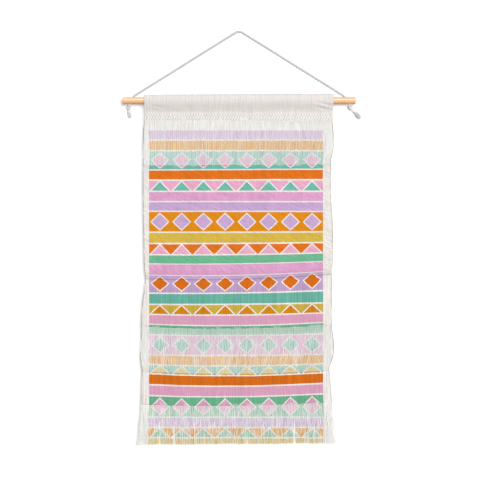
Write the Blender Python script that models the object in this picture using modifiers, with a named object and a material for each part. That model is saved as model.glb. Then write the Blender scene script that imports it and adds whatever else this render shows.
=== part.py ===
"""A woven wall hanging on a wooden dowel: a fringed cloth whose top is sewn into a sleeve round the
dowel, and a twisted cotton cord that runs through a slanted hole near each end of the dowel and is
knotted under it.

Frame: metres, +Z up, +X to the viewer's right, and the front of the cloth faces -Y. The origin is the
hang point, where a nail or hook bears on the underside of the cord at its apex.
"""

import math
import random
from typing import NamedTuple

import bmesh
import bpy
from mathutils import Matrix, Vector

MM = 0.001
INCH = 0.0254
GAP = 0.3 * MM

# Dowel: a half-inch rod, 16 inches long, with eased ends and two slanted holes for the cord
DOWEL_DIAMETER = 0.5 * INCH
DOWEL_LENGTH = 16 * INCH
DOWEL_DROP = 118.25 * MM
DOWEL_SIDES = 40
DOWEL_EASE = 0.8 * MM
HOLE_DIAMETER = 5.6 * MM
HOLE_TILT = math.radians(33)
HOLE_FOOT_X = 192.6 * MM
HOLE_SIDES = 20
CUTTER_LENGTH = 40 * MM

# Cord: three plies, laid up so that one ply comes round in each lay
CORD_DIAMETER = 4.5 * MM
CORD_PLIES = 3
CORD_GROOVE = 0.8
CORD_LAY = 17 * MM
STEPS_PER_LAY = 8
# Half of the cord's route from the apex to the knot, as x and z in millimetres; the other half mirrors it
HALF_ROUTE = (
    (0.0, 2.25),
    (2.8, 1.87),
    (5.6, 0.66),
    (8.1, -0.9),
    (14.0, -4.6),
    (35.3, -17.9),
    (56.5, -31.1),
    (98.9, -57.6),
    (141.3, -84.0),
    (171.0, -102.6),
    (178.2, -107.1),
    (181.6, -109.2),
    (183.3, -110.5),
    (184.5, -112.1),
    (187.3, -116.4),
    (189.6, -119.95),
    (191.8, -123.35),
)

# Knots: two crossed turns of the cord round its own core, and the free end below them
KNOT_TURN_RADIUS = 2.75 * MM
KNOT_TURN_DROPS = (128.05 * MM, 131.1 * MM)
KNOT_TURN_TILTS = (math.radians(14), math.radians(-24))
TURN_STEPS = 14
TURN_SIDES = 8

# Cloth: one length of cloth, thick where it is woven close and thin where the warp lies loose
CLOSE = 1.8 * MM
LOOSE = 1.3 * MM
LEDGE = 1.2 * MM
COLUMNS = 22
ROW_STEP = 17 * MM
HEM_STEP = 0.3 * MM
SLEEVE_TOP_LEFT = -165.2 * MM
SLEEVE_TOP_RIGHT = 164.8 * MM
SLEEVE_PEAK_LEFT = 10.6 * MM
SLEEVE_PEAK_RIGHT = 12.4 * MM
SLEEVE_PEAK_START = math.radians(15)
SLEEVE_ARC_STEPS = 12
SLEEVE_FALL_STEPS = 5

# Fringe: the warp ends below the last close band
STRANDS = 120
STRIP_HEIGHT = 3 * MM
STRAND_PARTING = 0.25 * MM
STRAND_STEPS = ((0.42, 1.0), (1.0, 0.72))
STRAND_UNEVEN = 1.5 * MM
STRAND_SWAY = 0.8 * MM
CLUMP_SIZES = (4, 11)
CLUMP_PULL = 0.85
CLUMP_LEAN = 0.5 * MM
CORNER_FLARE_POWER = 3
FRINGE_SEED = 7


class Row(NamedTuple):
    """A line across the cloth, in millimetres: how far it lies below the hang point at the left edge,
    the middle and the right edge, where the two edges are, and how thick the cloth is from here down."""

    name: str
    drop_left: float
    drop_middle: float
    drop_right: float
    left: float
    right: float
    thickness: float


CLOTH_ROWS = (
    Row("sleeve meets hem", 141.0, 141.0, 141.0, -163.9, 163.6, CLOSE),
    Row("hem ends", 152.0, 152.0, 152.0, -165.3, 163.1, LOOSE),
    Row("upper loose band", 169.5, 169.5, 169.5, -167.1, 164.5, LOOSE),
    Row("upper loose band bellies", 192.2, 192.2, 192.2, -167.4, 165.7, LOOSE),
    Row("upper loose band draws in", 214.9, 214.9, 214.9, -167.4, 162.2, LOOSE),
    Row("first close band", 231.4, 230.6, 229.7, -167.4, 160.4, CLOSE),
    Row("narrowest on the right", 284.6, 284.6, 284.6, -167.4, 160.4, CLOSE),
    Row("full width", 335.2, 335.2, 335.2, -166.6, 163.4, CLOSE),
    Row("above the crease", 405.0, 405.0, 400.0, -165.3, 163.4, CLOSE),
    Row("crease", 428.5, 429.4, 420.7, -163.4, 161.8, CLOSE),
    Row("pucker ends", 441.0, 441.0, 434.0, -164.3, 161.8, CLOSE),
    Row("ribbed band", 474.7, 474.7, 472.0, -168.6, 161.8, CLOSE),
    Row("lower loose band", 512.3, 515.7, 508.8, -170.6, 161.8, LOOSE),
    Row("lower loose band opens", 530.5, 531.5, 529.0, -171.3, 164.3, LOOSE),
    Row("lower loose band bellies", 548.0, 549.0, 547.0, -172.0, 165.7, LOOSE),
    Row("lower loose band, widest", 563.7, 565.5, 562.5, -173.2, 164.5, LOOSE),
    Row("lower loose band draws in", 579.5, 582.5, 578.0, -171.3, 159.6, LOOSE),
    Row("last close band", 590.7, 595.1, 589.0, -169.5, 157.5, CLOSE),
    Row("last close band, middle", 620.0, 623.0, 617.0, -170.2, 159.9, CLOSE),
    Row("cloth ends", 648.3, 650.0, 643.9, -171.1, 162.0, CLOSE),
)
FRINGE_ENDS = Row("fringe ends", 716.0, 714.5, 712.5, -180.2, 169.9, LOOSE)


class Fold(NamedTuple):
    """A soft trough or ridge across the cloth's face, in millimetres: the middle of its line, how far
    the line drops for each millimetre to the right, half the line's length and half its width, and how
    far the face moves back."""

    name: str
    x: float
    drop: float
    slope: float
    half_length: float
    half_width: float
    depth: float


FOLDS = (
    Fold("crease over the ribbed band, left", -60.0, 428.5, 0.005, 130.0, 9.0, 1.6),
    Fold("crease over the ribbed band, right", 105.0, 426.0, -0.09, 75.0, 9.0, 1.4),
    Fold("pucker at the left edge", -158.0, 430.0, -0.20, 26.0, 12.0, 1.8),
    Fold("bulge under the crease", -5.0, 470.0, 0.0, 170.0, 32.0, -1.2),
    Fold("sag of the lower loose band", -5.0, 553.0, 0.0, 190.0, 30.0, 1.5),
    Fold("belly of the upper loose band", 20.0, 190.0, 0.03, 150.0, 30.0, -1.3),
    Fold("dip on the right", 150.0, 250.0, 0.0, 40.0, 60.0, 1.4),
    Fold("curl of the left edge", -172.0, 560.0, 0.0, 22.0, 40.0, 1.8),
    Fold("curl of the right edge", 166.0, 550.0, 0.0, 22.0, 36.0, -1.6),
)


class Wave(NamedTuple):
    """A gentle upright wave of the hanging cloth, in millimetres: its height, its length, its phase in
    radians and how far down it drifts by one radian."""

    height: float
    length: float
    phase: float
    drift: float


WAVES = (Wave(0.9, 118.0, 0.8, 210.0), Wave(0.5, 61.0, 0.0, -130.0))
WAVES_SETTLE = 60 * MM


def material(name, colour, roughness):
    """A plain material with the part's colour, linear RGB."""
    made = bpy.data.materials.new(name)
    made.use_nodes = True
    shader = made.node_tree.nodes["Principled BSDF"]
    shader.inputs["Base Color"].default_value = (*colour, 1.0)
    shader.inputs["Roughness"].default_value = roughness
    shader.inputs["Metallic"].default_value = 0.0
    return made


def clear_scene():
    for obj in list(bpy.data.objects):
        bpy.data.objects.remove(obj, do_unlink=True)


def new_collection(name):
    made = bpy.data.collections.new(name)
    bpy.context.scene.collection.children.link(made)
    return made


def object_from(bm, name, collection, finish=None):
    """Ends a bmesh as a named object."""
    bmesh.ops.recalc_face_normals(bm, faces=bm.faces)
    mesh = bpy.data.meshes.new(name)
    bm.to_mesh(mesh)
    bm.free()
    made = bpy.data.objects.new(name, mesh)
    collection.objects.link(made)
    if finish:
        mesh.materials.append(finish)
    return made


def hide_helper(obj):
    obj.hide_render = True
    obj.display_type = "WIRE"


def round_bar(name, diameter, length, sides, collection):
    """A closed cylinder along Z, centred on its own origin."""
    bm = bmesh.new()
    bmesh.ops.create_cone(
        bm, cap_ends=True, segments=sides, radius1=diameter / 2, radius2=diameter / 2, depth=length
    )
    return object_from(bm, name, collection)


def add_boolean(obj, other, operation):
    modifier = obj.modifiers.new(operation.title(), "BOOLEAN")
    modifier.operation = operation
    modifier.solver = "EXACT"
    modifier.object = other
    return modifier


def build_dowel(parts, helpers):
    dowel = round_bar("dowel", DOWEL_DIAMETER, DOWEL_LENGTH, DOWEL_SIDES, parts)
    dowel.data.transform(Matrix.Rotation(math.pi / 2, 4, "Y"))
    dowel.location = (0, 0, -DOWEL_DROP)
    dowel.data.materials.append(material("wood", (0.93, 0.56, 0.29), 0.45))
    ease = dowel.modifiers.new("Eased ends", "BEVEL")
    ease.width = DOWEL_EASE
    ease.segments = 2
    ease.limit_method = "ANGLE"
    ease.angle_limit = math.radians(60)
    for side in (-1, 1):
        cutter = round_bar("hole_cutter", HOLE_DIAMETER, CUTTER_LENGTH, HOLE_SIDES, helpers)
        half_run = math.tan(HOLE_TILT) * DOWEL_DIAMETER / 2
        cutter.location = (side * (HOLE_FOOT_X - half_run), 0, -DOWEL_DROP)
        cutter.rotation_euler = (0, -side * HOLE_TILT, 0)
        hide_helper(cutter)
        add_boolean(dowel, cutter, "DIFFERENCE")
    dowel.data.shade_smooth()
    dowel.data.set_sharp_from_angle(angle=math.radians(35))
    return dowel


def through(points, t):
    """The point at t, from 0 to 1, on a Catmull-Rom curve through the points."""
    last = len(points) - 1
    place = min(max(t, 0.0), 1.0) * last
    i = min(int(place), last - 1)
    f = place - i
    p1, p2 = points[i], points[i + 1]
    p0 = points[i - 1] if i else p1 * 2 - p2
    p3 = points[i + 2] if i + 2 <= last else p2 * 2 - p1
    return (
        p1
        + (p2 - p0) * (0.5 * f)
        + (p0 * 2 - p1 * 5 + p2 * 4 - p3) * (0.5 * f * f)
        + (p1 * 3 - p0 - p2 * 3 + p3) * (0.5 * f * f * f)
    )


def evenly_along(points, step):
    """Points about one step apart on the smooth curve through the given points, its two ends included."""
    samples = [through(points, i / (len(points) * 40)) for i in range(len(points) * 40 + 1)]
    travelled = [0.0]
    for before, after in zip(samples, samples[1:]):
        travelled.append(travelled[-1] + (after - before).length)
    count = max(2, round(travelled[-1] / step))
    found = []
    i = 0
    for n in range(count + 1):
        wanted = travelled[-1] * n / count
        while i < len(samples) - 2 and travelled[i + 1] < wanted:
            i += 1
        span = travelled[i + 1] - travelled[i]
        found.append(samples[i].lerp(samples[i + 1], (wanted - travelled[i]) / span if span else 0.0))
    return found


def ply_profile(helpers):
    """The cord's cross-section: a ridge for each ply and a groove between neighbours."""
    curve = bpy.data.curves.new("ply_profile", "CURVE")
    curve.dimensions = "2D"
    spline = curve.splines.new("POLY")
    corners = CORD_PLIES * 2
    spline.points.add(corners - 1)
    for i in range(corners):
        radius = CORD_DIAMETER / 2 * (CORD_GROOVE if i % 2 else 1.0)
        angle = -math.tau * i / corners
        spline.points[i].co = (radius * math.cos(angle), radius * math.sin(angle), 0, 1)
    spline.use_cyclic_u = True
    profile = bpy.data.objects.new("ply_profile", curve)
    helpers.objects.link(profile)
    hide_helper(profile)
    return profile


def laid_cord(name, points, widths, profile, collection):
    """A twisted cord along the points, whose width follows the widths, as a curve with filled caps."""
    curve = bpy.data.curves.new(name, "CURVE")
    curve.dimensions = "3D"
    curve.bevel_mode = "OBJECT"
    curve.bevel_object = profile
    curve.use_fill_caps = True
    curve.twist_mode = "MINIMUM"
    spline = curve.splines.new("POLY")
    spline.points.add(len(points) - 1)
    for i, (point, width) in enumerate(zip(points, widths)):
        spline.points[i].co = (*point, 1)
        spline.points[i].radius = width
        spline.points[i].tilt = i * math.tau / STEPS_PER_LAY
    made = bpy.data.objects.new(name, curve)
    collection.objects.link(made)
    return made


def as_mesh(obj, collection):
    """The curve made a mesh with welded caps, in its place."""
    bpy.context.view_layer.update()
    graph = bpy.context.evaluated_depsgraph_get()
    mesh = bpy.data.meshes.new_from_object(obj.evaluated_get(graph))
    bm = bmesh.new()
    bm.from_mesh(mesh)
    bmesh.ops.remove_doubles(bm, verts=bm.verts, dist=0.0001 * MM)
    place = obj.matrix_world.copy()
    name = obj.name
    bpy.data.objects.remove(obj, do_unlink=True)
    made = object_from(bm, name, collection)
    made.matrix_world = place
    return made


def build_cord(parts, profile, finish):
    right = [Vector((x * MM, 0, z * MM)) for x, z in HALF_ROUTE]
    left = [Vector((-p.x, 0, p.z)) for p in reversed(right[1:])]
    points = evenly_along(left + right, CORD_LAY / STEPS_PER_LAY)
    cord = laid_cord("cord", points, [1.0] * len(points), profile, parts)
    cord.data.materials.append(finish)
    return cord


class TailPoint(NamedTuple):
    """A point on a cord's free end, in millimetres, and how much wider than the cord the end is there."""

    x: float
    z: float
    width: float


# Each free end from the foot of its hole, through its knot, to its frayed tip
LEFT_TAIL = (
    TailPoint(-191.99, -123.64, 1.0),
    TailPoint(-193.08, -125.32, 1.0),
    TailPoint(-193.5, -129.5, 1.0),
    TailPoint(-193.3, -134.0, 1.0),
    TailPoint(-192.6, -139.0, 1.1),
    TailPoint(-191.8, -144.5, 1.45),
    TailPoint(-190.9, -149.3, 1.75),
)
RIGHT_TAIL = (
    TailPoint(191.99, -123.64, 1.0),
    TailPoint(193.08, -125.32, 1.0),
    TailPoint(193.6, -129.5, 1.0),
    TailPoint(196.5, -134.6, 1.05),
    TailPoint(201.5, -140.2, 1.15),
    TailPoint(206.6, -145.6, 1.4),
    TailPoint(211.3, -150.6, 1.7),
)
KNOT_POINT = 2


def build_knot(name, tail, parts, helpers, profile, finish):
    """The core and free end, with two crossed turns joined on."""
    route = [Vector((point.x * MM, 0, point.z * MM)) for point in tail]
    points = evenly_along(route, CORD_LAY / STEPS_PER_LAY)
    steps = len(points) - 1
    scale = [Vector((point.width, 0, 0)) for point in tail]
    widths = [through(scale, i / steps).x for i in range(steps + 1)]
    knot = as_mesh(laid_cord(name, points, widths, profile, parts), parts)
    centre_x = route[KNOT_POINT].x
    for turn_drop, tilt in zip(KNOT_TURN_DROPS, KNOT_TURN_TILTS):
        bpy.ops.mesh.primitive_torus_add(
            major_radius=KNOT_TURN_RADIUS,
            minor_radius=CORD_DIAMETER / 2,
            major_segments=TURN_STEPS,
            minor_segments=TURN_SIDES,
            location=(centre_x, 0, -turn_drop),
            rotation=(tilt, tilt / 2, 0),
        )
        turn = bpy.context.object
        turn.name = "knot_turn"
        for collection in list(turn.users_collection):
            collection.objects.unlink(turn)
        helpers.objects.link(turn)
        hide_helper(turn)
        add_boolean(knot, turn, "UNION")
    knot.data.materials.append(finish)
    return knot


def row_as_vectors(row):
    """The row in metres, as two vectors that can be interpolated: drops, then edges and thickness."""
    drops = Vector((row.drop_left, row.drop_middle, row.drop_right)) * MM
    return drops, Vector((row.left * MM, row.right * MM, row.thickness))


def bowed(drops, u):
    """The drop at u, from 0 at the left edge to 1 at the right, on the bow through three points."""
    left, middle, right = drops
    return left * (2 * u - 1) * (u - 1) + middle * 4 * u * (1 - u) + right * u * (2 * u - 1)


def sections(rows):
    """Cross-lines down the cloth as (drops, left, right, thickness), with a ledge at each new thickness."""
    pairs = [row_as_vectors(row) for row in rows]
    all_drops = [pair[0] for pair in pairs]
    all_sides = [pair[1] for pair in pairs]
    found = []
    last = len(rows) - 1
    for i in range(last):
        height = all_drops[i + 1].y - all_drops[i].y
        steps = max(1, round(height / ROW_STEP))
        thickness = rows[i].thickness
        for n in range(steps):
            t = (i + n / steps) / last
            sides = through(all_sides, t)
            found.append((through(all_drops, t), sides.x, sides.y, thickness))
        if rows[i + 1].thickness != thickness:
            t = (i + 1 - LEDGE / height) / last
            sides = through(all_sides, t)
            found.append((through(all_drops, t), sides.x, sides.y, thickness))
    found.append((all_drops[last], all_sides[last].x, all_sides[last].y, rows[last].thickness))
    return found


def drape(x, drop):
    """How far the middle of the cloth stands back from the dowel's plane, in metres."""
    below = max(0.0, drop - CLOTH_ROWS[1].drop_middle * MM)
    settled = min(1.0, below / WAVES_SETTLE)
    back = 0.0
    for wave in WAVES:
        turn = math.tau * x / (wave.length * MM) + wave.phase + below / (wave.drift * MM)
        back += settled * wave.height * MM * math.sin(turn)
    for fold in FOLDS:
        along = (x / MM - fold.x) / fold.half_length
        across = (drop / MM - fold.drop - fold.slope * (x / MM - fold.x)) / fold.half_width
        back += fold.depth * MM * math.exp(-(along * along) ** 2) * math.exp(-across * across)
    return back


def sheet_points(section, u, hemmed):
    """Front and back points of the cloth on one section, where the hem doubles it behind."""
    drops, left, right, thickness = section
    x = left + (right - left) * u
    drop = bowed(drops, u)
    back = drape(x, drop)
    if hemmed:
        return Vector((x, back - CLOSE, -drop)), Vector((x, back + CLOSE, -drop))
    middle = back - CLOSE / 2
    return Vector((x, middle - thickness / 2, -drop)), Vector((x, middle + thickness / 2, -drop))


def sleeve_points(u):
    """The sleeve's outer points and its tunnel's, from the hem's front over the dowel to the hem's back."""
    top = Vector((SLEEVE_TOP_LEFT, SLEEVE_TOP_RIGHT))
    bottom = Vector((CLOTH_ROWS[0].left, CLOTH_ROWS[0].right)) * MM
    peak = SLEEVE_PEAK_LEFT + (SLEEVE_PEAK_RIGHT - SLEEVE_PEAK_LEFT) * u
    clear_radius = DOWEL_DIAMETER / 2 + GAP
    rise = peak - clear_radius - CLOSE
    fall = CLOTH_ROWS[0].drop_middle * MM - DOWEL_DROP
    outer, tunnel = [], []

    def across(height):
        edges = top.lerp(bottom, min(1.0, max(0.0, (peak - height) / (peak + fall))))
        return edges.x + (edges.y - edges.x) * u

    for n in range(SLEEVE_FALL_STEPS):
        share = n / SLEEVE_FALL_STEPS
        out = clear_radius * (1 - math.cos(math.pi * share)) / 2
        height = fall * (share - 1)
        tunnel.append(Vector((across(height), -out, height - DOWEL_DROP)))
        outer.append(Vector((across(height), -out - CLOSE, height - DOWEL_DROP)))
    for n in range(SLEEVE_ARC_STEPS + 1):
        angle = math.pi * n / SLEEVE_ARC_STEPS
        up = min(angle, math.pi - angle)
        share = max(0.0, (up - SLEEVE_PEAK_START) / (math.pi / 2 - SLEEVE_PEAK_START))
        radius = clear_radius + rise * (1 - math.cos(math.pi * share)) / 2
        x = across(radius * math.sin(angle))
        for found, reach in ((tunnel, radius), (outer, radius + CLOSE)):
            found.append(Vector((x, -reach * math.cos(angle), reach * math.sin(angle) - DOWEL_DROP)))
    for n in range(SLEEVE_FALL_STEPS - 1, -1, -1):
        front, inner = outer[n], tunnel[n]
        outer.append(Vector((front.x, -front.y, front.z)))
        tunnel.append(Vector((inner.x, -inner.y, inner.z)))
    return outer, tunnel[:-1]


def build_cloth(parts):
    """A loft in rings from the left edge to the right, with the sleeve's tunnel inside."""
    lines = sections(CLOTH_ROWS)
    hem_lines = sum(1 for line in lines if line[0].y < CLOTH_ROWS[1].drop_middle * MM)
    bm = bmesh.new()
    rings, tunnels = [], []
    for i in range(COLUMNS + 1):
        u = i / COLUMNS
        fronts, backs = [], []
        for n, line in enumerate(lines[1:], start=1):
            front, back = sheet_points(line, u, n < hem_lines)
            if n == hem_lines:
                hem_front, hem_back = sheet_points(line, u, True)
                fronts.append(hem_front)
                backs.append(hem_back)
                front.z -= HEM_STEP
                back.z -= HEM_STEP
            fronts.append(front)
            backs.append(back)
        outer, tunnel = sleeve_points(u)
        ring = [bm.verts.new(p) for p in reversed(fronts)]
        ring += [bm.verts.new(p) for p in outer]
        ring += [bm.verts.new(p) for p in backs]
        rings.append((ring, len(fronts), len(outer)))
        tunnels.append([bm.verts.new(p) for p in tunnel])
    for (here, _, _), (there, _, _) in zip(rings, rings[1:]):
        for n in range(len(here)):
            bm.faces.new((here[n - 1], here[n], there[n], there[n - 1]))
    for here, there in zip(tunnels, tunnels[1:]):
        for n in range(len(here)):
            bm.faces.new((here[n], here[n - 1], there[n - 1], there[n]))
    for end in (0, -1):
        ring, front_count, outer_count = rings[end]
        tunnel = tunnels[end]
        for n in range(front_count - 1):
            bm.faces.new((ring[n], ring[n + 1], ring[-2 - n], ring[-1 - n]))
        outer = ring[front_count : front_count + outer_count]
        last_front, first_back = ring[front_count - 1], ring[front_count + outer_count]
        bm.faces.new((last_front, outer[0], tunnel[0], outer[-1], first_back))
        for n in range(outer_count - 1):
            inner = tunnel[(n + 1) % len(tunnel)]
            bm.faces.new((outer[n], outer[n + 1], inner, tunnel[n]))
    bmesh.ops.triangulate(bm, faces=bm.faces)
    cloth = object_from(bm, "cloth", parts, material("cloth", (0.84, 0.80, 0.75), 0.9))
    cloth.data.shade_smooth()
    cloth.data.set_sharp_from_angle(angle=math.radians(40))
    return cloth


def clump_places(count, rng):
    """For each strand, its place in its clump, counted from the clump's middle, and the clump's lean."""
    places = []
    while len(places) < count:
        size = min(rng.randint(*CLUMP_SIZES), count - len(places))
        lean = rng.uniform(-CLUMP_LEAN, CLUMP_LEAN)
        places += [(n - (size - 1) / 2, lean) for n in range(size)]
    return places


def build_fringe(parts):
    """A narrow strip under the cloth's edge, from whose underside each strand is drawn out in steps."""
    rng = random.Random(FRINGE_SEED)
    drops, sides = row_as_vectors(CLOTH_ROWS[-1])
    end_drops, end_sides = row_as_vectors(FRINGE_ENDS)
    pitch = (sides.y - sides.x) / STRANDS
    bm = bmesh.new()
    corners = []
    for i in range(STRANDS + 1):
        u = i / STRANDS
        x = sides.x + (sides.y - sides.x) * u
        drop = bowed(drops, u) + GAP
        middle = drape(x, drop) - CLOSE / 2
        corners.append(
            [
                bm.verts.new((x, middle + out * CLOSE / 2, -drop - down * STRIP_HEIGHT))
                for out, down in ((-1, 0), (1, 0), (1, 1), (-1, 1))
            ]
        )
    undersides = []
    for here, there in zip(corners, corners[1:]):
        for n in range(4):
            face = bm.faces.new((here[n], here[(n + 1) % 4], there[(n + 1) % 4], there[n]))
            if n == 2:
                undersides.append(face)
    bm.faces.new(corners[0])
    bm.faces.new(corners[-1])
    bmesh.ops.recalc_face_normals(bm, faces=bm.faces)
    bmesh.ops.inset_individual(bm, faces=undersides, thickness=STRAND_PARTING, use_even_offset=True)
    places = clump_places(STRANDS, rng)
    lengths = [rng.uniform(-STRAND_UNEVEN, STRAND_UNEVEN) for _ in range(STRANDS)]
    sways = [rng.uniform(-STRAND_SWAY, STRAND_SWAY) for _ in range(STRANDS)]
    tips = undersides
    for share, width in STRAND_STEPS:
        tips = bmesh.ops.extrude_discrete_faces(bm, faces=tips)["faces"]
        tips.sort(key=lambda face: face.calc_center_median().x)
        for i, face in enumerate(tips):
            u = (i + 0.5) / STRANDS
            root = Vector((sides.x + (sides.y - sides.x) * u, 0, -bowed(drops, u) - GAP - STRIP_HEIGHT))
            root.y = drape(root.x, -root.z) - CLOSE / 2
            from_middle = 2 * u - 1
            corner = end_sides.x - sides.x if from_middle < 0 else end_sides.y - sides.y
            flare = corner * abs(from_middle) ** CORNER_FLARE_POWER
            in_clump, lean = places[i]
            pull = in_clump * pitch * (CLUMP_PULL - 1) + lean
            tip_drop = bowed(end_drops, u) + lengths[i]
            target = Vector((root.x + (flare + pull) * share, root.y + sways[i] * share, 0))
            target.z = root.z + (-tip_drop - root.z) * share
            old = face.calc_center_median()
            for vert in face.verts:
                offset = vert.co - old
                vert.co = target + Vector((offset.x * width, offset.y * width, 0))
    bmesh.ops.triangulate(bm, faces=bm.faces)
    return object_from(bm, "fringe", parts, material("fringe_yarn", (0.86, 0.83, 0.80), 0.9))


def main():
    clear_scene()
    parts = new_collection("textile_wall_hanging")
    helpers = new_collection("helpers")
    build_dowel(parts, helpers)
    profile = ply_profile(helpers)
    cotton = material("cotton_cord", (0.85, 0.85, 0.84), 0.85)
    build_cord(parts, profile, cotton)
    build_knot("knot_left", LEFT_TAIL, parts, helpers, profile, cotton)
    build_knot("knot_right", RIGHT_TAIL, parts, helpers, profile, cotton)
    build_cloth(parts)
    build_fringe(parts)


main()
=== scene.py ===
"""The looks of a printed, fringed cotton wall hanging on a wooden dowel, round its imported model.

Frame: metres, +Z up, +X to the viewer's right, and the front of the cloth faces -Y. The origin is the
underside of the cord at its apex. A drop is a distance below it.
"""

import math
import random
from collections import namedtuple

import bpy
import numpy as np
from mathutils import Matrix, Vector, noise


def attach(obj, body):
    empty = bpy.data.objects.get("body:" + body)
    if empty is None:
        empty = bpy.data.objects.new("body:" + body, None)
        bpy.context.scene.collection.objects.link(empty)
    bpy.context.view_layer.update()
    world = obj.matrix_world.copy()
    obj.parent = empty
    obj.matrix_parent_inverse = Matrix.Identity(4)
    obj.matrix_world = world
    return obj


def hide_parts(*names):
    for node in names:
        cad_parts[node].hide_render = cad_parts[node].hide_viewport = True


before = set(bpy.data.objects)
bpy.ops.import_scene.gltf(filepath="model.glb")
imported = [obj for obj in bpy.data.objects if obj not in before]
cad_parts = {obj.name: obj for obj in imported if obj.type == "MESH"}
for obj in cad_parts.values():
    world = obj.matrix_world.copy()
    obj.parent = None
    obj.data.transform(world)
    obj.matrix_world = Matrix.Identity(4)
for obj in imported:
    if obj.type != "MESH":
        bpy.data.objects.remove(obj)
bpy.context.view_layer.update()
MM = 0.001


# The room: a white wall that the hanging all but touches, a pale floor well below, and soft lights: a very
# large one in front for the hanging, a lower one for the wall alone, a long narrow one that only draws the
# bright line along the dowel, a weak one behind, and white light from all round, stronger from above.
PHOTO_SPAN = 837.1 * MM
PHOTO_CENTRE_X = 1.7 * MM
PHOTO_CENTRE_DROP = 361.4 * MM
CLOTH_FRONT_Y = -1.5 * MM
LENS = 85
SENSOR_WIDTH = 36
WALL_Y = 8.9 * MM
WALL_WIDTH = 6.0
WALL_TOP = 3.0
FLOOR_DROP = 0.95
FLOOR_REACH = 6.0
Lamp = namedtuple("Lamp", "place width height power colour lights_faces shines")
LAMPS = {
    "key_light": Lamp((2.76, -7.35, 2.45), 5.6, 5.6, 715, (1, 1, 1), True, False),
    "wall_light": Lamp((2.76, -7.35, 1.75), 5.2, 5.2, 720, (1, 1, 1), True, False),
    "line_light": Lamp((0.0, -2.5, 1.55), 2.6, 0.24, 92, (0.6, 0.72, 1), False, True),
    "back_light": Lamp((-0.9, 2.6, 0.9), 1.6, 1.6, 30, (1, 1, 1), True, True),
}
SKY_BELOW = 0.04
SKY_ABOVE = 0.44
WALL_PAINT = 0.75
WALL_GLOW = 0.32
FLOOR_PALE = (0.86, 0.86, 0.85, 1)
FLOOR_DIM = (0.42, 0.42, 0.42, 1)


def node(tree, kind, inputs=None, **settings):
    """A new shader node with these settings, and with its inputs set or linked."""
    made = tree.nodes.new("ShaderNode" + kind)
    for name, value in settings.items():
        setattr(made, name, value)
    for key, value in (inputs or {}).items():
        if isinstance(value, (Value, bpy.types.Node, bpy.types.NodeSocket)):
            join(value, made.inputs[key])
        else:
            made.inputs[key].default_value = value
    return made


def join(value, socket):
    value = value if isinstance(value, Value) else Value(value)
    socket.id_data.links.new(value.socket, socket)


class Value:
    """A number in a node tree, for sums as with any number. Of a node it is the first output."""

    def __init__(self, source):
        self.socket = source.outputs[0] if isinstance(source, bpy.types.Node) else source

    def then(self, operation, *others, clamp=False):
        """What a Math node makes of this value and the others."""
        inputs = dict(enumerate((self, *others)))
        return Value(node(self.socket.id_data, "Math", inputs, operation=operation, use_clamp=clamp))

    def __abs__(self):
        return self.then("ABSOLUTE")

    def __rsub__(self, other):
        return (self - other) * -1.0


SIGNS = {"add": "ADD", "sub": "SUBTRACT", "mul": "MULTIPLY", "truediv": "DIVIDE", "mod": "FLOORED_MODULO"}
for sign, operation in {**SIGNS, "lt": "LESS_THAN", "gt": "GREATER_THAN"}.items():
    setattr(Value, f"__{sign}__", lambda self, other, operation=operation: self.then(operation, other))


def new_material(name):
    made = bpy.data.materials.new(name)
    made.use_nodes = True
    made.node_tree.nodes.clear()
    return made, made.node_tree


def finish_with(tree, shader):
    node(tree, "OutputMaterial", {"Surface": shader})


def parts(tree, vector):
    """The X, Y and Z of a vector."""
    return [Value(part) for part in node(tree, "SeparateXYZ", {0: vector}).outputs]


def graded(tree, value, low, high, at_low=0.0, at_high=1.0):
    """What goes evenly from one number to another as the value goes from low to high."""
    return Value(node(tree, "MapRange", {0: value, 1: low, 2: high, 3: at_low, 4: at_high}))


def plane(name, low, high, finish):
    """A flat rectangle of the room, from its low left corner to its high right one."""
    (left, near, foot), (right, far, top) = low, high
    mesh = bpy.data.meshes.new(name)
    mesh.from_pydata([low, (right, near, foot), high, (left, far, top)], [], [(0, 1, 2, 3)])
    mesh.materials.append(finish)
    made = bpy.data.objects.new(name, mesh)
    bpy.context.scene.collection.objects.link(made)
    return made


scene = bpy.context.scene
scene.view_settings.view_transform = "Standard"
scene.view_settings.look = "None"

camera = bpy.data.objects.new("camera", bpy.data.cameras.new("camera"))
camera.data.lens = LENS
camera.data.sensor_width = SENSOR_WIDTH
camera.location = (PHOTO_CENTRE_X, CLOTH_FRONT_Y - PHOTO_SPAN * LENS / SENSOR_WIDTH, -PHOTO_CENTRE_DROP)
camera.rotation_euler = (math.pi / 2, 0, 0)
scene.collection.objects.link(camera)
scene.camera = camera

lamps = {}
for name, lamp in LAMPS.items():
    made = lamps[name] = bpy.data.objects.new(name, bpy.data.lights.new(name, "AREA"))
    made.data.energy = lamp.power
    made.data.color = lamp.colour
    made.data.shape = "RECTANGLE"
    made.data.size = lamp.width
    made.data.size_y = lamp.height
    made.visible_diffuse = lamp.lights_faces
    made.visible_glossy = lamp.shines
    made.location = lamp.place
    aim = Vector((0, 0, -PHOTO_CENTRE_DROP)) - made.location
    made.rotation_euler = aim.to_track_quat("-Z", "Y").to_euler()
    scene.collection.objects.link(made)

scene.world = bpy.data.worlds.new("white_room")
scene.world.use_nodes = True
tree = scene.world.node_tree
up = parts(tree, node(tree, "TexCoord").outputs["Generated"])[2]
sky = graded(tree, up, -1.0, 1.0, SKY_BELOW, SKY_ABOVE)
tree.nodes["Background"].inputs["Color"].default_value = (1, 1, 1, 1)
join(sky, tree.nodes["Background"].inputs["Strength"])

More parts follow.
